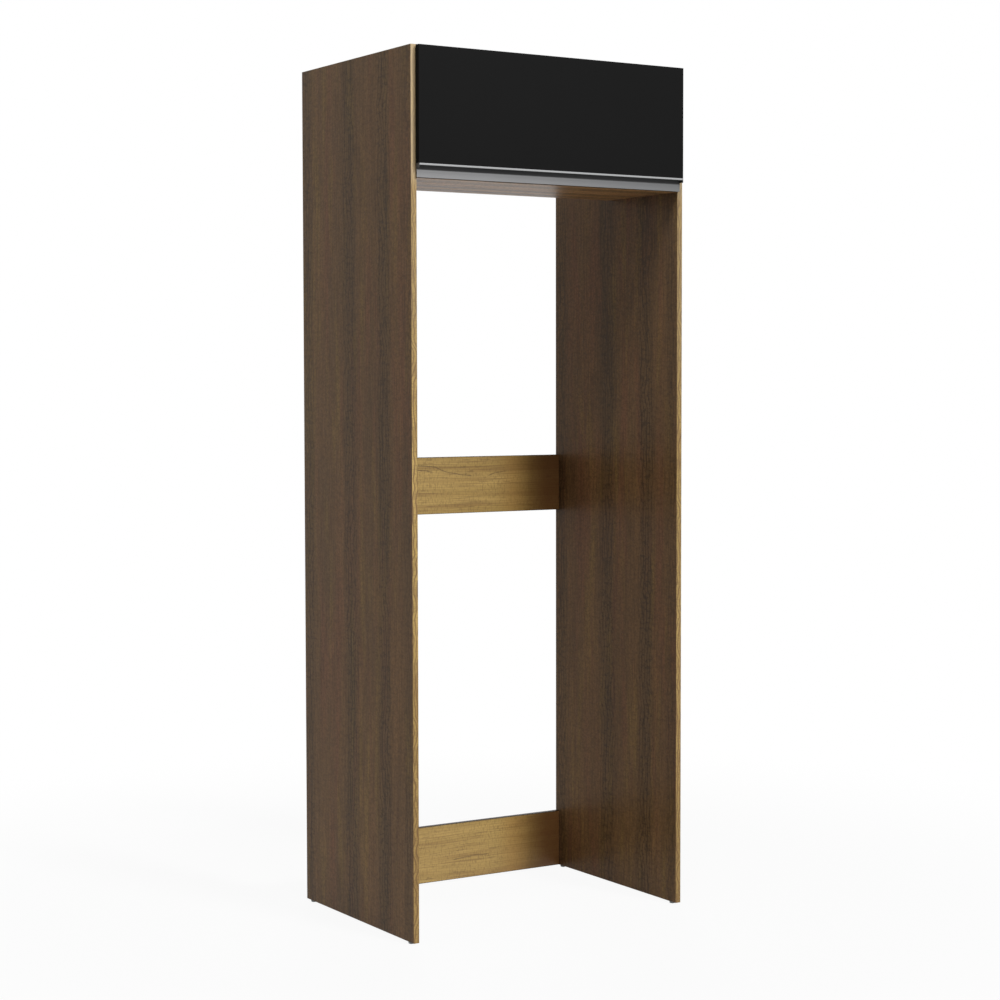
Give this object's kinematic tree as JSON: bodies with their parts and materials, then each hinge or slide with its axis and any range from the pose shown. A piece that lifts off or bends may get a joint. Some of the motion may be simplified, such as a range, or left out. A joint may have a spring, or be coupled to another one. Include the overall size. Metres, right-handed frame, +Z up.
{
  "type": "fridge housing unit",
  "caption": "Tall open housing for a fridge with two side panels, rear rails and a shallow top cupboard closed by a top-hung flap.",
  "frame": {"origin": "middle of the footprint at floor level, under the glides", "axes": "+X to the right seen from the front, +Y to the rear wall, +Z up"},
  "size_m": [0.8, 0.584, 2.16],
  "materials": {
    "walnut_board": "satin melamine with walnut grain",
    "oak_board": "satin melamine with oak grain",
    "dark_band": "satin",
    "hardboard": "matt",
    "black_flap": "satin black foil",
    "aluminium_profile": "satin anodised",
    "black_plastic": "matt",
    "grey_plastic": "matt",
    "beech_dowel": "raw beech",
    "zinc_steel": "zinc plated",
    "chromed_rod": "ground and chromed",
    "painted_tube": "satin black paint"
  },
  "bodies": {
    "carcass": {"side_panel_left": "walnut_board", "side_panel_right": "walnut_board", "front_band_left": "oak_board", "front_band_right": "oak_board", "top_board": "walnut_board", "bottom_board": "walnut_board", "board_front_bands": "walnut_board", "back_board": "hardboard", "back_board_nails": "zinc_steel", "middle_rail": "oak_board", "lower_rail": "oak_board", "rail_edge_bands": "dark_band", "dowels": "beech_dowel", "cam_bolts": "zinc_steel", "cam_locks": "zinc_steel", "cam_caps": "walnut_board", "glides": "grey_plastic", "glide_nails": "zinc_steel", "wall_bracket_left": "zinc_steel", "wall_bracket_right": "zinc_steel", "wall_bracket_screws": "zinc_steel", "strut_mount_left": "zinc_steel", "strut_mount_right": "zinc_steel", "strut_mount_screws": "zinc_steel", "hinge_leaf_carcass": "zinc_steel", "hinge_pin": "zinc_steel", "hinge_screws_carcass": "zinc_steel"},
    "flap": {"flap_panel": "black_flap", "handle_profile": "aluminium_profile", "handle_cap_left": "black_plastic", "handle_cap_right": "black_plastic", "hinge_leaf_flap": "zinc_steel", "hinge_screws_flap": "zinc_steel", "flap_bracket_left": "zinc_steel", "flap_bracket_right": "zinc_steel", "flap_bracket_screws": "zinc_steel", "flap_bumpers": "grey_plastic"},
    "rod_left": {"strut_rod_left": "chromed_rod", "strut_piston_left": "black_plastic", "strut_rod_end_left": "black_plastic"},
    "tube_left": {"strut_tube_left": "painted_tube", "strut_gland_left": "black_plastic", "strut_tube_end_left": "black_plastic"},
    "rod_right": {"strut_rod_right": "chromed_rod", "strut_piston_right": "black_plastic", "strut_rod_end_right": "black_plastic"},
    "tube_right": {"strut_tube_right": "painted_tube", "strut_gland_right": "black_plastic", "strut_tube_end_right": "black_plastic"}
  },
  "joints": [
    {"name": "flap_hinge", "type": "hinge", "parent": "carcass", "child": "flap", "pos_m": [0, -0.275, 2.158], "axis": [-1, 0, 0], "range_deg": [0, 85]},
    {"name": "strut_swing_left", "type": "hinge", "parent": "carcass", "child": "rod_left", "pos_m": [-0.372, -0.165, 1.958], "axis": [1, 0, 0], "range_deg": [0, 8.51]},
    {"name": "strut_extend_left", "type": "slide", "parent": "rod_left", "child": "tube_left", "axis": [0, -0.5391, 0.8423], "range_m": [0, 0.06313]},
    {"name": "strut_swing_right", "type": "hinge", "parent": "carcass", "child": "rod_right", "pos_m": [0.372, -0.165, 1.958], "axis": [1, 0, 0], "range_deg": [0, 8.51]},
    {"name": "strut_extend_right", "type": "slide", "parent": "rod_right", "child": "tube_right", "axis": [0, -0.5391, 0.8423], "range_m": [0, 0.06313]}
  ],
  "couplings": [
    {"joint": "strut_swing_left", "follows": "flap_hinge", "ratio": 0.099956},
    {"joint": "strut_extend_left", "follows": "flap_hinge", "m_per_rad": 0.042522},
    {"joint": "strut_swing_right", "follows": "flap_hinge", "ratio": 0.099956},
    {"joint": "strut_extend_right", "follows": "flap_hinge", "m_per_rad": 0.042522}
  ]
}
